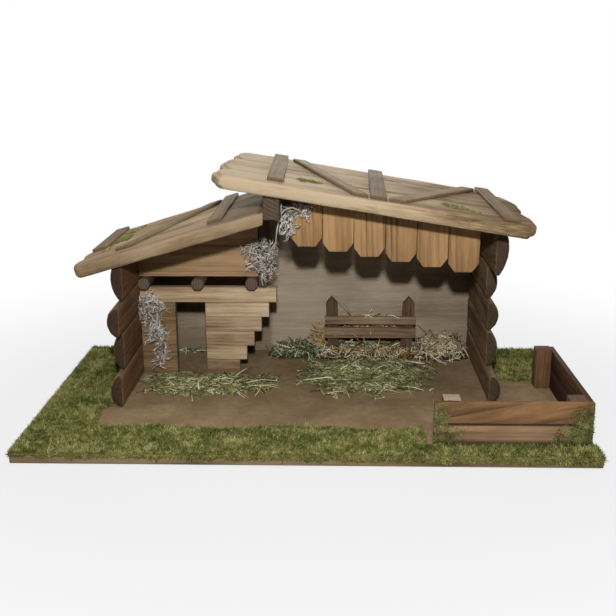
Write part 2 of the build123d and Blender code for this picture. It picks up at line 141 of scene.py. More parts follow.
class Finish(Board):
    """A procedural material."""

    def __init__(self, name):
        self.material = bpy.data.materials.new(name)
        self.material.use_nodes = True
        self.material.node_tree.nodes.clear()
        super().__init__(self.material.node_tree)
        self.place = self.node("ShaderNodeTexCoord", output="Object")

    def noise(self, size, seed, detail=2.0, roughness=0.5, vector=None):
        inputs = {"Vector": vector or self.place, "W": seed, "Scale": 1 / size, "Detail": detail,
                  "Roughness": roughness}
        return self.node("ShaderNodeTexNoise", {"noise_dimensions": "4D"}, inputs)

    def split(self, vector):
        parts = self.node("ShaderNodeSeparateXYZ", None, {"Vector": vector})
        return parts, parts.out("Y"), parts.out("Z")

    def blend(self, share, first, second, kind="MIX"):
        settings = {"data_type": "RGBA", "blend_type": kind, "clamp_factor": True}
        return self.node("ShaderNodeMix", settings, {0: share, 6: first, 7: second}, output=2)

    def ramp(self, share, *stops):
        wire = self.node("ShaderNodeValToRGB", None, {"Fac": share})
        scale = wire.socket.node.color_ramp
        while len(scale.elements) < len(stops):
            scale.elements.new(1.0)
        for element, (position, colour) in zip(scale.elements, stops):
            element.position = position
            element.color = colour
        return wire

    def close(self, colour, roughness, height=None, depth=None, strength=None):
        """End the material in a dull surface, with a bump where a height is given."""
        inputs = {"Base Color": colour, "Roughness": roughness, "Specular IOR Level": DULL}
        if height is not None:
            bump = {"Height": height, "Distance": depth, "Strength": strength}
            inputs["Normal"] = self.node("ShaderNodeBump", None, bump)
        shader = self.node("ShaderNodeBsdfPrincipled", None, inputs)
        self.node("ShaderNodeOutputMaterial", None, {"Surface": shader})
        return self.material


# Timber

class Timber:
    """Tones and grain of one kind of wood; ring and wobble are in millimetres."""

    ring, wobble, ratio = 3.0, 6.0, 18
    rings, fibre, streak, blotch, spread = 0.3, 0.6, 0.9, 0.7, 0.12

    def __init__(self, pale, middle, dark, end, **grain):
        self.pale, self.middle, self.dark, self.end = (paint(*tone) for tone in (pale, middle, dark, end))
        vars(self).update(grain)


# Wood of each material slot
TIMBER = {
    "base_wood": Timber((138, 119, 91), (105, 88, 65), (64, 50, 37), (96, 80, 59)),
    "left_log_wood": Timber((136, 105, 79), (108, 81, 59), (60, 44, 34), (37, 30, 24), ring=6, fibre=0.8),
    "right_log_wood": Timber((148, 124, 98), (113, 91, 70), (66, 53, 41), (43, 36, 29), ring=6, fibre=0.8),
    "panel_wood": Timber((178, 163, 143), (160, 145, 125), (124, 110, 92), (130, 115, 95), ring=9, rings=0.1,
                         streak=0.5, ratio=14),
    "lath_wood": Timber((202, 179, 149), (168, 144, 114), (114, 91, 67), (186, 172, 160), ring=4, rings=0.4,
                        streak=1.2),
    "gable_wood": Timber((186, 156, 122), (164, 134, 100), (112, 87, 61), (150, 120, 86), ring=2.2, rings=0.4,
                         streak=0.7, blotch=0.4, ratio=40, wobble=2),
    "joist_wood": Timber((116, 95, 81), (86, 69, 58), (48, 38, 33), (108, 91, 80)),
    "beam_wood": Timber((110, 96, 80), (83, 71, 58), (44, 37, 30), (90, 77, 64), ring=4, rings=0.5),
    "plank_wood": Timber((178, 158, 130), (146, 124, 93), (90, 71, 48), (146, 124, 94), ring=7,
                         fibre=1.0, streak=1.5, blotch=1.0, ratio=22),
    "batten_wood": Timber((144, 125, 97), (118, 101, 77), (80, 67, 51), (110, 93, 73), ring=3.4),
    "shingle_wood": Timber((170, 135, 94), (143, 111, 76), (104, 76, 49), (160, 130, 95), ring=4, rings=0.4,
                           streak=1.1, spread=0.14),
    "front_rail_wood": Timber((146, 109, 72), (112, 84, 58), (82, 59, 42), (104, 78, 54), ring=13, rings=0.7,
                              streak=0.7, blotch=0.9, ratio=9, wobble=16),
    # Its pale end tone is a painted highlight on the tops of the posts on the left
    "fence_wood": Timber((130, 99, 70), (102, 76, 52), (60, 43, 31), (194, 174, 150), ring=3.4),
    "manger_wood": Timber((160, 136, 110), (128, 106, 84), (80, 64, 50), (118, 98, 78), ring=3.4, streak=1.2),
}
# Pieces whose wood differs from that of their slot, and the wood of the fence posts on the right, whose tops
# are left without the painted highlight that fence_wood's pale end tone gives the post tops on the left
OWN_TIMBER = {
    "fence_front_rail_1": Timber((160, 130, 100), (134, 106, 80), (92, 70, 52), (140, 112, 86), ring=4),
    "fence_side_rail_1": Timber((82, 58, 43), (60, 42, 31), (38, 27, 21), (120, 92, 66), ring=4),
    "fence_side_rail_2": Timber((86, 62, 45), (65, 46, 33), (40, 28, 22), (120, 92, 66), ring=4),
    "left_roof_plank_1": Timber((170, 147, 119), (148, 125, 98), (108, 87, 64), (140, 116, 88), ring=7,
                                rings=0.05, blotch=0.8, ratio=24),
    "manger_stakes": Timber((108, 87, 70), (82, 65, 52), (52, 40, 31), (90, 72, 58), ring=4),
    "plain_top_post": Timber((130, 99, 70), (102, 76, 52), (60, 43, 31), (102, 79, 63), ring=3.4),
    "door_jamb_laths": Timber((138, 112, 82), (108, 86, 61), (70, 53, 37), (150, 130, 110), ring=4,
                              rings=0.4),
}
# How much darker, or paler where negative, a piece is than its kind
TONE_SHIFT = {"chamber_lath_1": 0.4, "chamber_lath_2": -0.06, "chamber_lath_3": 0.2, "chamber_lath_4": -0.02,
              "chamber_lath_5": 0.04, "chamber_header": 0.02, "manger_lower_rail": 0.02, "shingle_2": -0.2,
              "shingle_5": -0.05, "shingle_6": 0.06, "right_roof_batten_2": 0.3, "right_roof_batten_3": 0.16}
# How much a board darkens per metre along its grain
FADE = {"right_roof_plank_1": 2.6, "right_roof_plank_2": 2.2, "right_roof_plank_3": 1.8,
        "chamber_header": -2.0}
FADE.update({f"chamber_lath_{number}": -3.0 for number in (2, 3, 4, 5)})

# Where along x the back panel starts to darken, where it is darkest, and by how much: darker behind the
# chamber, and painted shade towards the right-hand wall
DARKENING_AND_PAINTED_SHADE = {"back_panel": ((-0.050, -0.058, 0.4), (0.09, 0.21, 0.28))}
# Only the side that faces the room is darkened
DARKENED_FACE = [corner.y for corner in reversed(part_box("back_panel"))]

# Heights at which a painted shadow line starts and is full, on the pen's front rails: in the seam between
# them and at the foot of the lower rail
RAIL_LOW, RAIL_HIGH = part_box("fence_front_rail_1")
SHADOW_LINE_COLOUR = paint(30, 20, 12)
PAINTED_SHADOW_LINES = {
    "fence_front_rail_1": ((RAIL_HIGH.z - 1.4 * MM, RAIL_HIGH.z - 0.4 * MM),
                           (RAIL_LOW.z + 8 * MM, RAIL_LOW.z + 3 * MM)),
    "fence_front_rail_2": ((RAIL_HIGH.z + 1.8 * MM, RAIL_HIGH.z + 0.4 * MM),),
}

# Sizes of the markings in wood, and the roughness of bare wood
FIBRE_SIZE = 0.9 * MM
STREAK_SIZE = 4.5 * MM
BLOTCH_SIZE = 13 * MM
WANDER_SIZE = 22 * MM
CLOUD_SIZE = 60 * MM
WOOD_ROUGH = 0.7


def wood(name, seed, centre, axis, timber, shift, fade, darkening_and_shade=(), shadow_lines=()):
    """A timber finish whose rings lie round a pith beside the piece and whose fibres run along the axis."""
    dice = random.Random(seed)
    finish = Finish(name)
    turn = Vector((1, 0, 0)).rotation_difference(axis)
    angle = dice.uniform(0, math.tau)
    aside = dice.uniform(20, 60) * MM
    pith = centre + turn @ Vector((0, aside * math.cos(angle), aside * math.sin(angle)))
    # Places seen along the grain: x runs with it and is shortened by the ratio
    grain = finish.node("ShaderNodeMapping", {"vector_type": "TEXTURE"},
                        {"Vector": finish.place, "Location": pith, "Rotation": turn.to_euler(),
                         "Scale": (timber.ratio, 1, 1)})
    fibre = finish.noise(FIBRE_SIZE, seed, 3.0, 0.6, grain)
    streak = finish.noise(STREAK_SIZE, seed + 0.3, 3.0, 0.6, grain)
    wander = finish.noise(WANDER_SIZE, seed + 0.5, vector=grain)
    blotch = finish.noise(BLOTCH_SIZE, seed + 0.7, vector=grain)
    cloud = finish.noise(CLOUD_SIZE, seed + 0.9)
    along, across, through = finish.split(grain)
    radius = (across * across + through * through) ** 0.5 + (wander - 0.5) * (timber.wobble * MM)
    turns = radius / (timber.ring * MM)
    late = turns.math("FRACT", turns) ** 2.5
    shown = blotch.rise(0.4, 0.62)
    tone = 0.45 + shift + dice.uniform(-1, 1) * timber.spread + (late - 0.3) * shown * timber.rings
    tone = tone + (fibre - 0.5) * timber.fibre + (streak - 0.5) * timber.streak
    tone = tone + ((wander - 0.5) + (cloud - 0.5)) * timber.blotch + along * (timber.ratio * fade)
    # Darkened spans across the piece; on the back panel the right-hand span is painted shade
    for start, end, depth in darkening_and_shade:
        beside, inward, _ = finish.split(finish.place)
        tone = tone + beside.rise(start, end) * inward.rise(*DARKENED_FACE) * depth
    colour = finish.ramp(tone, (0.1, timber.pale), (0.5, timber.middle), (0.9, timber.dark))
    normal = finish.node("ShaderNodeNewGeometry", output="Normal")
    facing = finish.node("ShaderNodeVectorMath", {"operation": "DOT_PRODUCT"}, {0: normal, 1: axis},
                         output="Value")
    end = facing.math("ABSOLUTE", facing).rise(0.45, 0.85)
    end_tone = finish.ramp(late * 0.5 + fibre * 0.5, (0.15, timber.end), (0.95, timber.dark))
    colour = finish.blend(end * 0.85, colour, end_tone)
    # Painted shadow lines, along the seam between the pen's front rails and at the lower rail's foot
    for far, near in shadow_lines:
        line = finish.split(finish.place)[2].rise(far, near)
        colour = finish.blend(line * 0.75, colour, SHADOW_LINE_COLOUR)
    height = fibre + streak * 0.7 + late * shown * 0.3
    return finish.close(colour, WOOD_ROUGH + (fibre - 0.5) * 0.4, height, 0.4 * MM, 0.6)


# Directions of fibres that a piece's form doesn't show
GRAIN = {
    "fence_posts": Vector((0, 0, 1)),
    "manger_stakes": Vector((0, 0, 1)),
    "door_jamb_laths": Vector((1, 0, 0)),
    "gable_board": Vector((1, 0, 0)),
    "fence_front_rail_2": Vector((1, 0, 0.2)).normalized(),
    "loft_joists": Vector((0, 1, 0)),
}


def spread_of(name):
    """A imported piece's middle and its directions, from the shortest to the longest."""
    spots = np.array([vertex.co for vertex in nodes[name].data.vertices])
    _, ways = np.linalg.eigh(np.cov((spots - spots.mean(axis=0)).T))
    return Vector(spots.mean(axis=0)), [Vector(way) for way in ways.T]


def grain_axis(name):
    """The direction in which a piece's fibres run: its longest direction, unless its form hides it."""
    if name in GRAIN:
        return GRAIN[name]
    longest = spread_of(name)[1][2]
    return longest if max(longest, key=abs) > 0 else -longest


def merged(name):
    """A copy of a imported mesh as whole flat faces."""
    shape = bmesh.new()
    shape.from_mesh(nodes[name].data)
    bmesh.ops.remove_doubles(shape, verts=shape.verts, dist=0.01 * MM)
    bmesh.ops.dissolve_limit(shape, angle_limit=math.radians(1), verts=shape.verts, edges=shape.edges)
    return shape


def mesh_of(shape, name):
    mesh = bpy.data.meshes.new(name)
    shape.to_mesh(mesh)
    shape.free()
    return mesh


def placed(name, data):
    """A new object in the scene."""
    thing = bpy.data.objects.new(name, data)
    bpy.context.scene.collection.objects.link(thing)
    return thing


def piece(name, mesh, slot, *replaced):
    """A finished mesh that rides on the frame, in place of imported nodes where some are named."""
    thing = placed(name, mesh)
    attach(thing, "root")
    if replaced:
        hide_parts(*replaced)


def eased(name, ease):
    """A packed board with its sharp edges taken off."""
    shape = merged(name)
    sharp = [edge for edge in shape.edges
             if len(edge.link_faces) == 2 and edge.calc_face_angle() > math.radians(25)]
    bmesh.ops.bevel(shape, geom=sharp, offset=ease, segments=2, profile=0.5, affect="EDGES",
                    clamp_overlap=True)
    mesh = mesh_of(shape, name)
    mesh.shade_smooth()
    mesh.set_sharp_from_angle(angle=math.radians(40))
    return mesh


def baked(thing):
    """The mesh that a thing's modifiers give."""
    graph = bpy.context.evaluated_depsgraph_get()
    source = thing.evaluated_get(graph)
    return bpy.data.meshes.new_from_object(source, preserve_all_data_layers=True, depsgraph=graph)


def round_ends(name, mesh, axis, nose):
    """Thin a plank towards its free ends, like the end of a bar worn round."""
    middle, ways = spread_of(name)
    flat = ways[0]
    packed = nodes[name].data
    solid = BVHTree.FromPolygons([vertex.co for vertex in packed.vertices],
                                 [list(face.vertices) for face in packed.polygons])
    outward = [axis, -axis] if name.startswith("right") else [-axis]
    for vertex in mesh.vertices:
        off = (vertex.co - middle).dot(flat)
        core = vertex.co - flat * off
        left = nose
        for way in outward:
            start = core + way * 4 * nose
            hit, _, _, far = solid.ray_cast(start, -way, 5 * nose)
            if hit is not None:
                left = min(left, max(0.0, 4 * nose - far))
        thin = math.sqrt(max(0.0, 1 - (1 - left / nose) ** 2))
        vertex.co = core + flat * off * (0.6 + 0.4 * thin)


def hewn(name, seed, axis, step, rounds, swell, groove, nose):
    """A packed timber with softened edges, a slightly wavy surface and shallow grooves along its grain."""
    shape = merged(name)
    bmesh.ops.triangulate(shape, faces=shape.faces)
    rough = placed(name + "_rough", mesh_of(shape, name))
    grid = rough.modifiers.new("grid", "REMESH")
    grid.mode = "VOXEL"
    grid.voxel_size = step
    soft = rough.modifiers.new("soft", "SMOOTH")
    soft.factor = 0.5
    soft.iterations = rounds
    mesh = baked(rough)
    bpy.data.objects.remove(rough)
    if nose:
        round_ends(name, mesh, axis, nose)
    turn = Vector((1, 0, 0)).rotation_difference(axis).inverted()
    shift = Vector((seed * 1.7, seed * 0.9, seed * 2.3))
    normals = [vertex.normal.copy() for vertex in mesh.vertices]
    for vertex, normal in zip(mesh.vertices, normals):
        local = turn @ vertex.co
        broad = noise.noise(vertex.co / (32 * MM) + shift)
        fine = noise.noise(Vector((local.x / 60, local.y / 3.2, local.z / 3.2)) / MM + shift)
        vertex.co += normal * (broad * swell + fine * groove)
    mesh.shade_smooth()
    return mesh


# Step of the grid, rounds of smoothing, swell, groove and rounded nose of hewn timber, in millimetres
HEWN_LOG = (1.6, 4, 0.6, 0.3, 0)
HEWN_STEPS = {"joist_wood": (0.9, 10, 0.15, 0.1, 0), "plank_wood": (1.6, 8, 0.5, 0.2, 5),
              "left_log_wood": HEWN_LOG, "right_log_wood": HEWN_LOG}
# Width of the eased edges of sawn timber, in millimetres
PLAIN_EASE = 0.6
EASE = {"base_wood": 0.8, "panel_wood": 0.4, "shingle_wood": 0.7, "batten_wood": 0.9}
SOFT_SLOTS = ("earth", "turf", "hay", "lichen")

for index, (name, slot) in enumerate(sorted(slot_of.items())):
    if slot in SOFT_SLOTS:
        continue
    seed = index + 1
    low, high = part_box(name)
    middle = (low + high) / 2
    axis = grain_axis(name)
    timber = OWN_TIMBER.get(name, TIMBER[slot])
    surface = wood(name + "_wood", seed, middle, axis, timber, TONE_SHIFT.get(name, 0), FADE.get(name, 0),
                   DARKENING_AND_PAINTED_SHADE.get(name, ()), PAINTED_SHADOW_LINES.get(name, ()))
    if slot in HEWN_STEPS:
        step, rounds, swell, groove, nose = HEWN_STEPS[slot]
        mesh = hewn(name, seed, axis, step * MM, rounds, swell * MM, groove * MM, nose * MM)
    else:
        mesh = eased(name, EASE.get(slot, PLAIN_EASE) * MM)
    mesh.materials.clear()
    mesh.materials.append(surface)
    # The fence posts on the right get tops without the painted highlight
    if name == "fence_posts":
        mesh.materials.append(wood("worn_post_wood", seed, middle, axis, OWN_TIMBER["plain_top_post"], 0, 0))
        for face in mesh.polygons:
            face.material_index = int(face.center.x > middle.x)
    piece(name + "_timber", mesh, slot, name)


# Earth

def earth():
    finish = Finish("sifted_earth")
    broad = finish.noise(45 * MM, 1.0, 3.0, 0.55)
    patch = finish.noise(9 * MM, 2.0, 3.0, 0.6)
    grit = finish.noise(1.3 * MM, 3.0, 2.0, 0.7)
    tone = broad * 0.5 + patch * 0.25 + grit * 0.25
    colour = finish.ramp(tone, (0.3, paint(106, 87, 64)), (0.5, paint(133, 112, 85)),
                         (0.68, paint(158, 138, 107)))
    return finish.close(colour, 0.85 + (grit - 0.5) * 0.2, grit + patch, 0.5 * MM, 0.6)


floor_node = nodes["earth_floor"]
floor_node.data.materials.clear()
floor_node.data.materials.append(earth())


# Grown and strewn pieces

def tube(shape, path, radii, sides):
    """A closed tube through a path of points."""
    rings = []
    for index, (spot, radius) in enumerate(zip(path, radii)):
        ahead = (path[min(index + 1, len(path) - 1)] - path[max(index - 1, 0)]).normalized()
        across = ahead.orthogonal().normalized()
        up = ahead.cross(across)
        angles = [math.tau * side / sides for side in range(sides)]
        rings.append([shape.verts.new(spot + (across * math.cos(angle) + up * math.sin(angle)) * radius)
                      for angle in angles])
    for first, second in zip(rings, rings[1:]):
        for side in range(sides):
            after = (side + 1) % sides
            shape.faces.new((first[side], first[after], second[after], second[side]))
    shape.faces.new(rings[0][::-1])
    shape.faces.new(rings[-1])


def blade_shape(dice, length, width):
    shape = bmesh.new()
    bend = dice.uniform(0.2, 0.7)
    spots = []
    for share in (0.0, 0.55):
        half = width / 2 * (1 - 0.35 * share)
        spot = Vector((bend * share * share * length, 0, share * length))
        spots.append([shape.verts.new(spot + Vector((0, side * half, 0))) for side in (-1, 1)])
    tip = shape.verts.new(Vector((bend * length, 0, length * 0.95)))
    shape.faces.new((spots[0][0], spots[0][1], spots[1][1], spots[1][0]))
    shape.faces.new((spots[1][0], spots[1][1], tip))
    return shape


def stalk_shape(dice, length, radius):
    shape = bmesh.new()
    bow = dice.uniform(-0.12, 0.12)
    lift = dice.uniform(-0.06, 0.10)
    path = []
    for share in (-0.5, -0.2, 0.15, 0.5):
        curve = 0.25 - share * share
        path.append(Vector((share, bow * curve * 4, lift * curve * 4)) * length)
    tube(shape, path, [radius * size for size in (1.0, 1.05, 0.9, 0.55)], 4)
    return shape


def thread_shape(dice, length, radius):
    """A thread that curls outwards and forks."""
    shape = bmesh.new()

    def some_way(size):
        return Vector([dice.gauss(0, size) for _ in range(3)])

    def grow(spot, way, count, thick, forks):
        hinge = some_way(1).normalized()
        path = [spot.copy()]
        for _ in range(count):
            hinge = (hinge + some_way(0.4)).normalized()
            way = Matrix.Rotation(dice.uniform(0.35, 1.0), 3, hinge) @ way
            spot = spot + way * (length / 8)
            path.append(spot.copy())
        tube(shape, path, [thick * (1 - 0.45 * step / count) for step in range(count + 1)], 3)
        for _ in range(forks):
            grow(dice.choice(path[1:-1]), (way + some_way(1)).normalized(), 3, thick * 0.75, 0)

    grow(Vector((0, 0, 0)), Vector((0, 0, 1)), 7, radius, 2)
    return shape


def shape_set(name, shapes):
    """A loose collection of small shapes to strew."""
    group = bpy.data.collections.new(name)
    for index, shape in enumerate(shapes):
        mesh = mesh_of(shape, f"{name}_{index}")
        mesh.shade_smooth()
        group.objects.link(bpy.data.objects.new(mesh.name, mesh))
    return group


def strewing_tree():
    """Small shapes strewn over a surface where its cover asks for them, each with a tone of its own."""
    tree = bpy.data.node_groups.new("strewn_shapes", "GeometryNodeTree")
    ways = (("Surface", "Geometry"), ("Shapes", "Collection"), ("Density", "Float"),
            ("Smallest", "Float"), ("Largest", "Float"), ("Lean", "Float"), ("Seed", "Int"))
    for name, kind in ways:
        tree.interface.new_socket(name=name, in_out="INPUT", socket_type="NodeSocket" + kind)
    tree.interface.new_socket(name="Geometry", in_out="OUTPUT", socket_type="NodeSocketGeometry")
    board = Board(tree)
    given = board.node("NodeGroupInput")
    seed = given.out("Seed")
    cover = board.node("GeometryNodeInputNamedAttribute", {"data_type": "FLOAT"}, {"Name": "cover"})
    spread = {"Mesh": given.out("Surface"), "Density": cover * given.out("Density"), "Seed": seed}
    points = board.node("GeometryNodeDistributePointsOnFaces", {"distribute_method": "RANDOM"}, spread)
    lean = given.out("Lean")
    back = 0.0 - lean
    low = board.node("ShaderNodeCombineXYZ", None, {"X": back, "Y": back, "Z": -math.pi})
    high = board.node("ShaderNodeCombineXYZ", None, {"X": lean, "Y": lean, "Z": math.pi})

    def chance(order, kind, least, most, number):
        """A random value for each shape; order is the place of its kind among the node's sockets."""
        inputs = {2 * order: least, 2 * order + 1: most, "Seed": seed + number}
        return board.node("FunctionNodeRandomValue", {"data_type": kind}, inputs, output=order)

    tilt = chance(0, "FLOAT_VECTOR", low, high, 1)
    turned = board.node("FunctionNodeRotateRotation", {"rotation_space": "LOCAL"},
                        {"Rotation": points.out("Rotation"), "Rotate By": tilt})
    size = chance(1, "FLOAT", given.out("Smallest"), given.out("Largest"), 2)
    choice = chance(2, "INT", 0, 1000, 3)
    tone = chance(1, "FLOAT", 0.0, 1.0, 4)
    source = {"Collection": given.out("Shapes"), "Separate Children": True, "Reset Children": True}
    shapes = board.node("GeometryNodeCollectionInfo", None, source)
    placing = {"Points": points, "Instance": shapes, "Pick Instance": True, "Instance Index": choice,
               "Rotation": turned, "Scale": size}
    strewn = board.node("GeometryNodeInstanceOnPoints", None, placing)
    toned = board.node("GeometryNodeStoreNamedAttribute", {"data_type": "FLOAT", "domain": "INSTANCE"},
                       {"Geometry": strewn, "Name": "tone", "Value": tone})
    real = board.node("GeometryNodeRealizeInstances", None, {"Geometry": toned})
    board.node("NodeGroupOutput", None, {"Geometry": real})
    return tree


STREWING = strewing_tree()


def strew(surface, shapes, finish, density, smallest, largest, lean, seed):
    """The mesh of shapes strewn over a surface mesh."""
    carrier = placed("carrier", surface)
    strewing = carrier.modifiers.new("strewing", "NODES")
    strewing.node_group = STREWING
    values = {"Shapes": shapes, "Density": density, "Smallest": smallest, "Largest": largest, "Lean": lean,
              "Seed": seed}
    for item in STREWING.interface.items_tree:
        if item.name in values:
            strewing[item.identifier] = values[item.name]
    mesh = baked(carrier)
    bpy.data.objects.remove(carrier)
    mesh.materials.clear()
    mesh.materials.append(finish)
    return mesh


def joined(meshes):
    """Several meshes as one, each keeping its own material and tones."""
    things = [placed("part", mesh) for mesh in meshes]
    with bpy.context.temp_override(object=things[0], active_object=things[0], selected_objects=things,
                                   selected_editable_objects=things):
        bpy.ops.object.join()
    mesh = things[0].data
    bpy.data.objects.remove(things[0])
    return mesh


def dressed(mesh, finish, label, values):
    """The mesh, smooth, with its finish and a labelled value at each of its points."""
    mesh.attributes.new(label, "FLOAT", "POINT").data.foreach_set("value", values)
    mesh.materials.append(finish)
    mesh.shade_smooth()
    return mesh


def net(across, deep):
    """Corners of each square face in a net, row by row."""
    for row in range(deep):
        for column in range(across):
            first = row * (across + 1) + column
            yield first, first + 1, first + across + 2, first + across + 1


# Least cover of a place that gets a face
LEAST_COVER = 0.03


def sheet(name, low, high, step, level, cover, finish):
    """A net of square faces over a rectangle, at a level and with a cover that both follow the place."""
    across = max(2, int(round((high[0] - low[0]) / step)))
    deep = max(2, int(round((high[1] - low[1]) / step)))
    spots = []
    shares = []
    for row in range(deep + 1):
        for column in range(across + 1):
            x = low[0] + (high[0] - low[0]) * column / across
            y = low[1] + (high[1] - low[1]) * row / deep
            share = min(1.0, max(0.0, cover(x, y)))
            spots.append(Vector((x, y, level(x, y, share))))
            shares.append(share)
    faces = [corners for corners in net(across, deep)
             if max(shares[corner] for corner in corners) > LEAST_COVER]
    used = sorted({corner for corners in faces for corner in corners})
    place = {corner: order for order, corner in enumerate(used)}
    mesh = bpy.data.meshes.new(name)
    mesh.from_pydata([spots[corner] for corner in used], [],
                     [[place[corner] for corner in face] for face in faces])
    return dressed(mesh, finish, "cover", [shares[corner] for corner in used])


def mottle(x, y, size, seed):
    """Smooth noise of -1 to 1 over the ground plan."""
    return noise.noise(Vector((x / size, y / size, seed * 7.3)))


def tone_wire(finish):
    return finish.node("ShaderNodeAttribute", {"attribute_name": "tone"}, output="Fac")


def grass_finish(name, root, *colours):
    """Blades in patches and clumps of tone, with painted shade towards the height of their roots."""
    finish = Finish(name)
    patch = finish.noise(26 * MM, 4.0, 3.0, 0.6)
    clump = finish.noise(6 * MM, 5.0, 2.0, 0.6)
    fine = finish.noise(2 * MM, 12.0, 2.0, 0.6)
    share = tone_wire(finish) * 0.45 + (patch - 0.5) * 1.6 + (clump - 0.5) * 1.5 + 0.27
    stops = [(0.2 + 0.6 * step / (len(colours) - 1), paint(*colour)) for step, colour in enumerate(colours)]
    colour = finish.ramp(share, *stops)
    _, _, height = finish.split(finish.place)
    # Painted shade: blades darken towards their roots
    lit = ((height - root) / (5 * MM)).rise(0.0, 1.0)
    dark = finish.blend(1.0, colour, paint(150, 145, 120), "MULTIPLY")
    return finish.close(finish.blend(lit, dark, colour), 0.75 + (fine - 0.5) * 0.2)


def mat_finish(name, *colours):
    finish = Finish(name)
    patch = finish.noise(14 * MM, 6.0, 3.0, 0.6)
    fine = finish.noise(1.2 * MM, 7.0, 3.0, 0.7)
    stops = [(0.25 + 0.5 * step / (len(colours) - 1), paint(*colour)) for step, colour in enumerate(colours)]
    colour = finish.ramp(patch * 0.5 + fine * 0.5, *stops)
    return finish.close(colour, 0.9 - fine * 0.1, fine, 0.8 * MM, 0.8)


# Blades to a square metre
TURF_BLADES, FRINGE_BLADES, LONG_BLADES, TUFT_BLADES, MOSS_BLADES = 1.1e6, 1.0e6, 0.5e6, 3.2e6, 1.3e6
dice = random.Random(11)
blades = shape_set("blades", [blade_shape(dice, dice.uniform(3.2, 4.8) * MM, dice.uniform(0.45, 0.7) * MM)
                              for _ in range(6)])
grass = grass_finish("grass_blades", GROUND, (74, 86, 42), (112, 119, 63), (146, 144, 83), (180, 172, 117))
tuft_grass = grass_finish("tuft_blades", GROUND, (62, 70, 36), (90, 97, 51), (114, 118, 67), (146, 147, 95))
fringe_grass = grass_finish("fringe_blades", 0.0, (86, 84, 46), (114, 110, 64), (140, 134, 86),
                            (172, 164, 118))
sod = mat_finish("grass_roots", (80, 76, 40), (112, 108, 58), (142, 136, 82))


def edge_distance(name):
    """How far a place lies inside (or, negative, outside) a packed mat, the board's own edges left out."""
    shape = merged(name)
    bmesh.ops.triangulate(shape, faces=shape.faces)
    shape.normal_update()
    tops = [face for face in shape.faces if face.normal.z > 0.9]
    level = max(vertex.co.z for vertex in shape.verts)
    inside = BVHTree.FromPolygons([vertex.co.copy() for vertex in shape.verts],
                                  [[vertex.index for vertex in face.verts] for face in tops])
    firsts = []
    seconds = []
    for edge in shape.edges:
        above = [face for face in edge.link_faces if face.normal.z > 0.9]
        ends = [vertex.co for vertex in edge.verts]
        outer = any(all(abs(abs(end[way]) - BOARD_HIGH[way]) < MM for end in ends) for way in (0, 1))
        if len(above) == 1 and not outer:
            firsts.append(ends[0].xy)
            seconds.append(ends[1].xy)
    shape.free()
    start = np.array(firsts)
    run = np.array(seconds) - start
    length = np.maximum((run * run).sum(axis=1), 1e-12)

    def distance(x, y):
        gap = np.array((x, y)) - start
        share = np.clip((gap * run).sum(axis=1) / length, 0, 1)
        away = np.sqrt((((gap - run * share[:, None])) ** 2).sum(axis=1)).min()
        _, _, _, off = inside.find_nearest(Vector((x, y, level)))
        return away if off < 0.05 * MM else -away

    return distance


for index, name in enumerate(("turf_front", "turf_left", "turf_right")):
    low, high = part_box(name)
    reach = 5 * MM
    distance = edge_distance(name)

    def turf_cover(x, y, distance=distance):
        ragged = mottle(x, y, 11 * MM, 1) * 3.5 * MM + mottle(x, y, 4 * MM, 2) * 2 * MM
        thin = 0.25 * mottle(x, y, 8 * MM, 3)
        return min(0.95, 0.6 + (distance(x, y) + ragged) / (5 * MM)) + thin

    def turf_level(x, y, share):
        return GROUND - 0.1 * MM + share * (1.9 + 0.8 * mottle(x, y, 9 * MM, 4)) * MM

    first = (max(low.x - reach, BOARD_LOW.x), max(low.y - reach, BOARD_LOW.y))
    last = (min(high.x + reach, BOARD_HIGH.x), min(high.y + reach, BOARD_HIGH.y))
    ground = sheet(name, first, last, 3 * MM, turf_level, turf_cover, sod)
    green = strew(ground, blades, grass, TURF_BLADES, smallest=0.6, largest=1.3, lean=1.15, seed=20 + index)
    piece(name + "_grass", joined([ground, green]), "turf", name)


def fringe(name, start, end, outward, deepening, seed):
    """A ragged strip of roots that hangs over an edge of the board, deeper towards its end."""
    run = end - start
    count = int(run.length / (3 * MM))
    # Place outwards, height and cover of each row
    rows = ((-4.0, 0.6, 0.9), (0.3, 0.2, 1.0), (0.8, -2.2, 0.9), (0.2, -5.5, 0.4))
    spots = []
    shares = []
    for step in range(count + 1):
        place = start + run * (step / count)
        along = run.length * step / count
        deep = 0.7 + deepening * step / count + 0.6 * mottle(along, 0, 14 * MM, seed)
        for out, rise, share in rows:
            lift = rise if rise > 0 else rise * min(1.1 + deepening * step / count, max(0.1, deep))
            spots.append(place + outward * (out * MM) + Vector((0, 0, lift * MM)))
            shares.append(share)
    mesh = bpy.data.meshes.new(name)
    mesh.from_pydata(spots, [], list(net(len(rows) - 1, count)))
    dressed(mesh, sod, "cover", shares)
    if mesh.polygons[1].normal.dot(outward) < 0:
        mesh.flip_normals()
    return mesh


# No blade of the fringe hangs lower than this
LOWEST_BLADE = 0.2 * MM

top = GROUND + 1.2 * MM
west, south = BOARD_LOW.x, BOARD_LOW.y
east, north = BOARD_HIGH.x, BOARD_HIGH.y
right_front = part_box("turf_right")[0].y
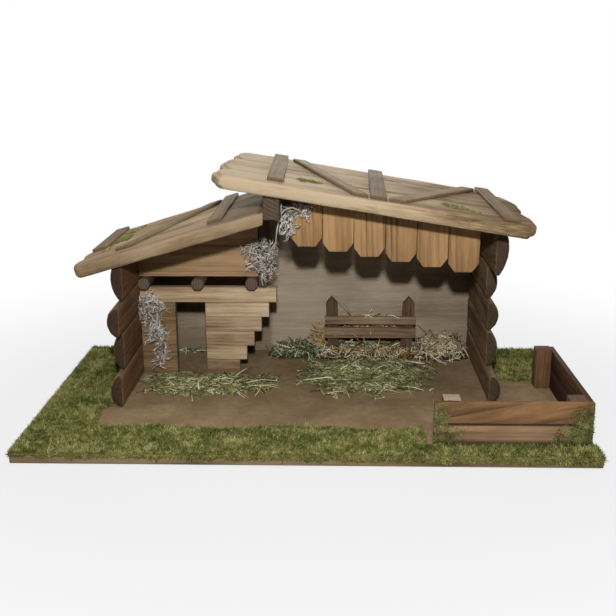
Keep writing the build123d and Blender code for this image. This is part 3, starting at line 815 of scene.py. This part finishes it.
# Start, end, outward direction and deepening of each strip
edges = (
    ((west, south), (east, south), (0, -1, 0), 0.7),
    ((west, south), (west, north), (-1, 0, 0), 0.0),
    ((east, south), (east, RAIL_LOW.y), (1, 0, 0), 0.0),
    ((east, right_front), (east, north), (1, 0, 0), 0.0),
)
meshes = []
for index, (start, end, outward, deepening) in enumerate(edges):
    strip = fringe(f"fringe_{index}", Vector((*start, top)), Vector((*end, top)), Vector(outward),
                   deepening, 70 + index)
    short = strew(strip, blades, fringe_grass, FRINGE_BLADES, smallest=0.5, largest=0.9, lean=0.7,
                  seed=700 + index)
    long = strew(strip, blades, grass, LONG_BLADES, smallest=0.6, largest=1.2, lean=0.9, seed=750 + index)
    meshes += [strip, short, long]
for mesh in meshes:
    for vertex in mesh.vertices:
        vertex.co.z = max(vertex.co.z, LOWEST_BLADE)
piece("board_fringe", joined(meshes), "turf")


def pad(name, centre, sizes, turn, finish, seed, rounds=3):
    """A small uneven pillow, fully covered; its middle and half sizes are in millimetres."""
    middle = Vector([part * MM for part in centre])
    halves = [size * MM for size in sizes]
    shape = bmesh.new()
    bmesh.ops.create_icosphere(shape, subdivisions=rounds, radius=1.0)
    for vertex in shape.verts:
        swell = 1 + 0.28 * noise.noise(vertex.co * 1.6 + Vector((seed * 3.1, seed, 0)))
        local = Vector([part * half * swell for part, half in zip(vertex.co, halves)])
        vertex.co = middle + turn @ local
    mesh = mesh_of(shape, name)
    return dressed(mesh, finish, "cover", [1.0] * len(mesh.vertices))


# Middle and reach of each patch, along the rail and upwards, in millimetres
CREEPERS = (((138, 42), (13, 16)), ((144, 18), (24, 18)), ((290, 36), (20, 24)), ((282, 18), (30, 20)))


def creeping(name, middle, reach, seed):
    """Short blades of grass that creep up the pen's front, thinner towards the rim of the patch."""
    start = [max((at - far) * MM, least) for at, far, least in zip(middle, reach, (RAIL_LOW.x, GROUND))]
    end = [(at + far) * MM for at, far in zip(middle, reach)]
    end[0] = min(end[0], RAIL_HIGH.x)

    def cover(x, z):
        away = math.hypot(*((part / MM - at) / far for part, at, far in zip((x, z), middle, reach)))
        return 1.6 * (1 - away) + 0.7 * mottle(x, z, 6 * MM, seed)

    mat = sheet(name, start, end, 1.5 * MM, lambda x, z, share: 0.0, cover, tuft_grass)
    for vertex in mat.vertices:
        vertex.co = Vector((vertex.co.x, RAIL_LOW.y - vertex.co.z, vertex.co.y))
    return strew(mat, blades, tuft_grass, TUFT_BLADES, smallest=0.4, largest=0.9, lean=1.2, seed=seed)


creepers = []
for index, (middle, reach) in enumerate(CREEPERS):
    creepers.append(creeping(f"creeper_{index}", middle, reach, 90 + index))
piece("fence_tufts", joined(creepers), "turf")

dice = random.Random(5)
RIGHT_LIE = Euler((0, math.radians(9.4), 0)).to_matrix()
LEFT_LIE = Euler((0, math.radians(-17), 0)).to_matrix()
# Thin pads of moss along lines on the roofs: their count, the line's ends, their spread and their lie
SMEARS = (
    (30, (-240, 30, 177.0), (-236, 76, 178.4), (5, 9, 0), LEFT_LIE),
    (32, (-222, 64, 182.8), (-232, 118, 179.8), (7, 10, 0), LEFT_LIE),
    (15, (-228, 128, 181.0), (-214, 142, 185.2), (4, 6, 0), LEFT_LIE),
    (36, (-10, -6, 265.6), (14, -2, 261.6), (5, 10, 0), RIGHT_LIE),
    (42, (146, -12, 239.9), (184, -24, 233.6), (5, 12, 0), RIGHT_LIE),
)
moss = []
for count, start, end, spread, lie in SMEARS:
    for _ in range(count):
        place = Vector(start).lerp(Vector(end), dice.random())
        aside = lie @ Vector([dice.uniform(-1, 1) * part for part in spread])
        sizes = [dice.uniform(1.0, 3.4) for _ in range(3)]
        sizes[2] = dice.uniform(0.4, 0.8)
        number = len(moss) // 2
        pillow = pad(f"roof_moss_{number}", place + aside, sizes, lie, sod, 5 + number, 2)
        bristles = strew(pillow, blades, grass, MOSS_BLADES, smallest=0.35, largest=0.7, lean=0.9,
                         seed=50 + number)
        moss += [pillow, bristles]
piece("roof_moss", joined(moss), "turf")


# Hay

def hay_finish(name, *colours):
    finish = Finish(name)
    tone = tone_wire(finish)
    patch = finish.noise(30 * MM, 8.0)
    streak = finish.noise(1.5 * MM, 9.0, 2.0, 0.6)
    share = tone + (patch - 0.5) * 0.3 + (streak - 0.5) * 0.1
    stops = [((step + 0.5) / len(colours), paint(*colour)) for step, colour in enumerate(colours)]
    return finish.close(finish.ramp(share, *stops), 0.6 + (streak - 0.5) * 0.3, streak, 0.1 * MM, 0.3)


def chaff_shape(dice, length, width):
    """A short flat bit of stalk that lies on the ground."""
    shape = bmesh.new()
    sway = dice.uniform(-0.15, 0.15)
    lift = dice.uniform(0.1, 0.9) * MM
    edges = []
    for share, rise in ((-0.5, 0.3), (0.0, 1.0), (0.5, 0.2)):
        spot = Vector((share * length, sway * rise * length, 0.3 * MM + lift * rise))
        edges.append([shape.verts.new(spot + Vector((0, side * width / 2, 0))) for side in (-1, 1)])
    for first, second in zip(edges, edges[1:]):
        shape.faces.new((first[0], second[0], second[1], first[1]))
    return shape


dice = random.Random(23)
stalks = shape_set("stalks", [stalk_shape(dice, length * MM, dice.uniform(0.42, 0.7) * MM)
                              for length in (9, 11, 14, 17, 21, 26, 32, 40)])
chaff = shape_set("chaff", [chaff_shape(dice, length * MM, dice.uniform(0.5, 0.9) * MM)
                            for length in (3, 4, 5, 6, 8, 10)])
straw = hay_finish("straw_stalks", (84, 64, 40), (214, 200, 156), (136, 108, 66), (234, 224, 190),
                   (64, 50, 32), (184, 166, 118), (246, 242, 222), (112, 88, 54))
# The darkest of these tones are painted shade, for the dark gaps between stalks
mixed_hay = hay_finish("mixed_hay_stalks", (58, 46, 30), (184, 156, 98), (112, 94, 56), (242, 230, 192),
                       (84, 96, 58), (190, 136, 62), (46, 36, 24), (136, 138, 106), (250, 246, 230),
                       (104, 72, 40))
# The darkest of these tones are painted shade, for the dark gaps between stalks
green_hay = hay_finish("green_hay_stalks", (62, 59, 34), (130, 130, 71), (166, 162, 96), (88, 92, 50),
                       (216, 208, 158), (114, 116, 62), (68, 67, 38), (244, 239, 208))
dark_hay = hay_finish("dark_hay_stalks", (46, 50, 30), (86, 96, 62), (66, 76, 48), (114, 122, 84),
                      (54, 58, 36), (164, 166, 132), (88, 96, 62), (226, 224, 200))
ochre_hay = hay_finish("ochre_hay_stalks", (150, 126, 80), (204, 178, 118), (174, 148, 94), (216, 194, 138),
                       (136, 114, 72), (190, 164, 106))
# A dark sheet of painted shade under the stalks, standing for the depth between them
hay_shade_sheet = mat_finish("hay_depth", (34, 28, 19), (54, 45, 30), (78, 67, 45))


def mound(name, centre, sizes, seed, finish, steep=2.2, hollow=0.35):
    """A low mound over an ellipse of ground, uneven at its rim and lumpy on top, in millimetres."""
    half = (sizes[0] / 2 * MM, sizes[1] / 2 * MM)
    middle = (centre[0] * MM, centre[1] * MM)

    def cover(x, y):
        away = math.hypot((x - middle[0]) / half[0], (y - middle[1]) / half[1])
        return (1.0 - away) * steep + hollow * mottle(x, y, 18 * MM, seed)

    def level(x, y, share):
        lump = 0.8 + 0.35 * mottle(x, y, 12 * MM, seed + 3)
        return GROUND + (centre[2] - 0.2) * MM + share ** 0.7 * sizes[2] * lump * MM

    low = [at - far for at, far in zip(middle, half)]
    high = [at + far for at, far in zip(middle, half)]
    return sheet(name, low, high, 3 * MM, level, cover, finish)


ROOM_LOW = Vector((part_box("left_wall_log_1")[1].x, BOARD_LOW.y, GROUND + 0.2 * MM))
ROOM_HIGH = Vector((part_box("right_wall_log_1")[0].x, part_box("back_panel")[0].y - 0.2 * MM, cad_high.z))
# Share that is left of what passes through the ground or a wall
DRAWN_IN = 0.15


def settled(mesh):
    """The mesh with its stalks or threads drawn in where they would pass through the ground or a wall."""
    spots = np.empty(len(mesh.vertices) * 3, dtype=np.float32)
    mesh.vertices.foreach_get("co", spots)
    spots = spots.reshape(-1, 3)
    inside = np.clip(spots, np.array(ROOM_LOW), np.array(ROOM_HIGH))
    drawn = inside + (spots - inside) * DRAWN_IN
    mesh.vertices.foreach_set("co", drawn.astype(np.float32).ravel())
    mesh.update()
    return mesh


def heaped(name, centre, sizes, finish, density, lean, seed):
    """The meshes of a heap: a dark heart of painted shade, chaff on it and stalks over both."""
    heart = mound(name, centre, sizes, seed, hay_shade_sheet)
    bits = strew(heart, chaff, finish, density, smallest=0.8, largest=1.4, lean=0.5, seed=seed * 10)
    long = strew(heart, stalks, finish, density, smallest=0.6, largest=1.1, lean=lean, seed=seed * 10 + 1)
    return [settled(mesh) for mesh in (heart, bits, long)]


def strewn(name, centre, sizes, finish, density, seed):
    """The meshes of a thin mat: chaff that lies on the ground and a few stalks."""
    ground = mound(name, centre, sizes, seed, hay_shade_sheet, 1.3, 0.5)
    bits = strew(ground, chaff, finish, 10 * density, smallest=0.8, largest=1.5, lean=0.2, seed=seed * 10)
    long = strew(ground, stalks, finish, density, smallest=0.6, largest=1.2, lean=0.12, seed=seed * 10 + 1)
    return [settled(mesh) for mesh in (bits, long)]


RAIL_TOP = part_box("manger_upper_rail")[1].z / MM + 0.4
WHITE_STRAW, PALE_STRAW, TAN_STRAW = 0.81, 0.44, 0.69
# Places along each single stalk and its radius, in millimetres, and its tone
LONE_STALKS = (
    (((-76, 28, 14.5), (-58, 33, 16.5), (-39, 35, 14.5)), 0.6, WHITE_STRAW),
    (((-118, 40, 13), (-104, 43, 15), (-91, 41, 13.5)), 0.6, WHITE_STRAW),
    (((-92, 50, 15), (-83, 58, 19), (-77, 64, 21)), 0.55, PALE_STRAW),
    (((136, 126, 14), (153, 127, 16), (171, 128, 14.5)), 0.6, WHITE_STRAW),
    (((83, 80, 14), (95, 88, 16.5), (108, 97, 15)), 0.55, PALE_STRAW),
    (((113, 23, 12.5), (126, 17, 14), (138, 10, 12.5)), 0.55, PALE_STRAW),
    (((23, -2, 12.5), (33, 1, 14), (43, 5, 12.5)), 0.55, PALE_STRAW),
    (((34.5, 131, 93), (44.5, 129.5, 84), (55, 132, RAIL_TOP)), 0.45, TAN_STRAW),
    (((66, 138, RAIL_TOP), (73, 134, RAIL_TOP + 2), (81, 131, RAIL_TOP - 1)), 0.55, WHITE_STRAW),
    (((70, 131, RAIL_TOP - 1), (78, 134, RAIL_TOP + 3), (88, 139, RAIL_TOP)), 0.55, PALE_STRAW),
    (((92, 132, RAIL_TOP - 2), (99, 134, RAIL_TOP + 2), (105, 137, RAIL_TOP + 5)), 0.5, TAN_STRAW),
    (((100, 137, RAIL_TOP), (108, 134, RAIL_TOP + 1), (116, 131, RAIL_TOP - 2)), 0.55, WHITE_STRAW),
    (((-261, -150, 17), (-259, -170.6, 15), (-258, -171.4, 2)), 0.4, TAN_STRAW),
)

# Name, middle and sizes in millimetres, finish, stalks to a square metre, lean and seed of each heap
HEAPS = (
    ("green_heap", (-20, 148, 0), (76, 36, 14), dark_hay, 2.8e5, 0.5, 31),
    ("mixed_heap", (75, 146, 0), (176, 42, 15), mixed_hay, 2.6e5, 0.35, 32),
    ("straw_heap", (170, 144, 0), (78, 46, 27), straw, 2.6e5, 0.5, 33),
)
OCHRE_WISP = ("ochre_wisp", (11, 158, 0), (18, 12, 44), ochre_hay, 1.1e5, 0.6, 34)
MANGER_WAD = ("manger_wad", (78, 150, 34), (112, 24, 14), mixed_hay, 2.2e5, 0.4, 51)
# The same for each thin mat, without the lean
MATS = (
    ("bay_mat", (74, 75, 0), (178, 178, 2.0), green_hay, 6e4, 41),
    ("chamber_mat", (-122, 36, 0), (176, 84, 3.0), green_hay, 8e4, 42),
    ("chamber_foot", (-162, 158, 0), (70, 14, 1.5), dark_hay, 6e4, 43),
)

heaps = [mesh for heap in HEAPS for mesh in heaped(*heap)]
# The wisp is left without its dark heart of painted shade
heaps += heaped(*OCHRE_WISP)[1:]
piece("loose_hay_heaps", joined(heaps), "hay", "hay_heaps")

mats = [mesh for mat in MATS for mesh in strewn(*mat)]
for index, (spots, radius, tone) in enumerate(LONE_STALKS):
    shape = bmesh.new()
    radii = [radius * MM * size for size in (1.0, 0.9, 0.6)]
    tube(shape, [Vector(spot) * MM for spot in spots], radii, 5)
    mesh = mesh_of(shape, f"lone_stalk_{index}")
    mats.append(dressed(mesh, straw, "tone", [tone] * len(mesh.vertices)))
piece("loose_hay_mats", joined(mats), "hay", "hay_mats")

piece("hay_in_manger", joined(heaped(*MANGER_WAD)), "hay", "manger_hay")


# Lichen

def lichen_finish():
    finish = Finish("lichen_threads")
    tone = tone_wire(finish)
    cloud = finish.noise(9 * MM, 10.0)
    fine = finish.noise(0.8 * MM, 11.0)
    share = tone * 0.6 + cloud * 0.4 + (fine - 0.5) * 0.2
    colour = finish.ramp(share, (0.2, paint(150, 141, 128)), (0.5, paint(214, 208, 198)),
                         (0.8, paint(246, 243, 236)))
    return finish.close(colour, 0.7 + (fine - 0.5) * 0.2, fine, 0.1 * MM, 0.3)


dice = random.Random(37)
threads = shape_set("threads", [thread_shape(dice, dice.uniform(15, 24) * MM, 0.72 * MM) for _ in range(9)])
lichen = lichen_finish()

# Middle and half sizes of each tuft, in millimetres, and its threads to a square metre
TUFTS = (
    ((-198, 66, 94), (12, 4.0, 20), 6.5e4),
    ((-192, 66, 64), (9, 3.5, 16), 6.5e4),
    ((-187, 67, 36), (4, 2.5, 12), 6.0e4),
    ((-58, 65, 164), (15, 4.5, 17), 6.5e4),
    ((-54, 67, 144), (7, 3.0, 9), 6.0e4),
    ((-12, -15, 234), (12, 3.5, 7), 6.5e4),
    ((-23, -15, 222), (5, 3.0, 14), 6.0e4),
)
TWIG_TONE = 0.12
# Places along each twig, in millimetres
TWIGS = (
    ((-28, -24, 243), (-29, -25, 230), (-33, -24, 214), (-35, -22, 198), (-38, -18, 182)),
    ((-35, -22, 198), (-40, -20, 191), (-47, -16, 187)),
    ((-29, -25, 230), (-24, -24, 236), (-16, -22, 238), (-8, -21, 234)),
)
tufts = []
for index, (centre, sizes, density) in enumerate(TUFTS):
    heart = pad(f"lichen_{index}", centre, sizes, Matrix.Identity(3), lichen, 60 + index)
    curls = strew(heart, threads, lichen, density, smallest=0.55, largest=1.05, lean=0.9, seed=610 + index)
    tufts.append(settled(curls))
twigs = bmesh.new()
for spots in TWIGS:
    radii = [(1.15 - 0.15 * step) * MM for step in range(len(spots))]
    tube(twigs, [Vector(spot) * MM for spot in spots], radii, 6)
twig_mesh = mesh_of(twigs, "lichen_twigs")
tufts.append(dressed(twig_mesh, lichen, "tone", [TWIG_TONE] * len(twig_mesh.vertices)))
piece("lichen_threads", joined(tufts), "lichen", "lichen_tufts")


# Floor, light and camera

def seen_as_background(board):
    """1 for the rays that show the white background: from the camera, mirrored or through glass."""
    rays = board.node("ShaderNodeLightPath", output="Is Camera Ray")
    direct = rays.math("MAXIMUM", rays, rays.out("Is Glossy Ray"))
    return direct.math("MAXIMUM", direct, rays.out("Is Transmission Ray"))


WHITE = (1, 1, 1, 1)
FLOOR_GREY = (0.35, 0.35, 0.35, 1)
FLOOR_SIZE = 8.0
FLOOR_DROP = 0.5 * MM
# Share of the white sky that lights the object
SKY_LIGHT = 0.02


def floor_finish():
    """White to the camera, a little greyer near the object where its shadow falls."""
    finish = Finish("pale_floor")
    seen = seen_as_background(finish)
    plain = finish.node("ShaderNodeBsdfDiffuse", None, {"Color": FLOOR_GREY})
    white = finish.node("ShaderNodeEmission", None, {"Color": WHITE, "Strength": 1.0})
    away = finish.node("ShaderNodeVectorMath", {"operation": "LENGTH"}, {0: finish.place}, output="Value")
    share = seen * (0.78 + away.rise(0.3, 0.75) * 0.22)
    shader = finish.node("ShaderNodeMixShader", None, {0: share, 1: plain, 2: white})
    finish.node("ShaderNodeOutputMaterial", None, {"Surface": shader})
    return finish.material


bpy.ops.mesh.primitive_plane_add(size=FLOOR_SIZE, location=(0, 0, -FLOOR_DROP))
floor = bpy.context.object
floor.name = "floor"
floor.data.materials.append(floor_finish())

world = bpy.data.worlds.new("studio")
bpy.context.scene.world = world
world.use_nodes = True
world.node_tree.nodes.clear()
sky = Board(world.node_tree)
seen = seen_as_background(sky)
strength = seen + (1.0 - seen) * SKY_LIGHT
background = sky.node("ShaderNodeBackground", None, {"Color": WHITE, "Strength": strength})
sky.node("ShaderNodeOutputWorld", None, {"Surface": background})


def lamp(name, place, target, size, power):
    light = bpy.data.lights.new(name, "AREA")
    light.shape = "DISK"
    light.size = size
    light.energy = power
    holder = placed(name, light)
    holder.location = place
    holder.rotation_euler = (Vector(target) - Vector(place)).to_track_quat("-Z", "Y").to_euler()


lamp("front_lamp", (0.03, -1.0, 0.58), (0.0, 0.0, 0.1), 0.05, 11.2)
lamp("top_lamp", (0.0, -0.15, 1.5), (0.0, 0.0, 0.1), 1.2, 9.0)
lamp("back_lamp", (0.0, 1.3, 0.5), (0.0, 0.1, 0.12), 0.8, 9.0)
lamp("left_lamp", (-1.3, 0.4, 0.4), (-0.2, 0.05, 0.1), 0.6, 4.0)
lamp("right_lamp", (1.3, 0.4, 0.4), (0.2, 0.05, 0.1), 0.6, 4.0)

# Place and angles of the camera; focal length and width of the picture in pixels, sensor in millimetres
CAMERA_PLACE = Vector((0.029, -0.996, 0.402))
CAMERA_ANGLES = (15.95, -1.66, 0.23)
FOCAL_PIXELS = 897.0
PICTURE_PIXELS = 616.0
SENSOR_WIDTH = 36.0

pitch, yaw, roll = (math.radians(angle) for angle in CAMERA_ANGLES)
ahead = Vector((math.sin(yaw) * math.cos(pitch), math.cos(yaw) * math.cos(pitch), -math.sin(pitch)))
aside = Vector((math.cos(yaw), -math.sin(yaw), 0))
down = ahead.cross(aside)
right = aside * math.cos(roll) + down * math.sin(roll)
below = down * math.cos(roll) - aside * math.sin(roll)
camera = placed("camera", bpy.data.cameras.new("camera"))
camera.data.sensor_width = SENSOR_WIDTH
camera.data.lens = FOCAL_PIXELS / PICTURE_PIXELS * SENSOR_WIDTH
facing = Matrix((right, -below, -ahead)).transposed().to_4x4()
facing.translation = CAMERA_PLACE
camera.matrix_world = facing
bpy.context.scene.camera = camera
bpy.context.scene.view_settings.view_transform = "Standard"
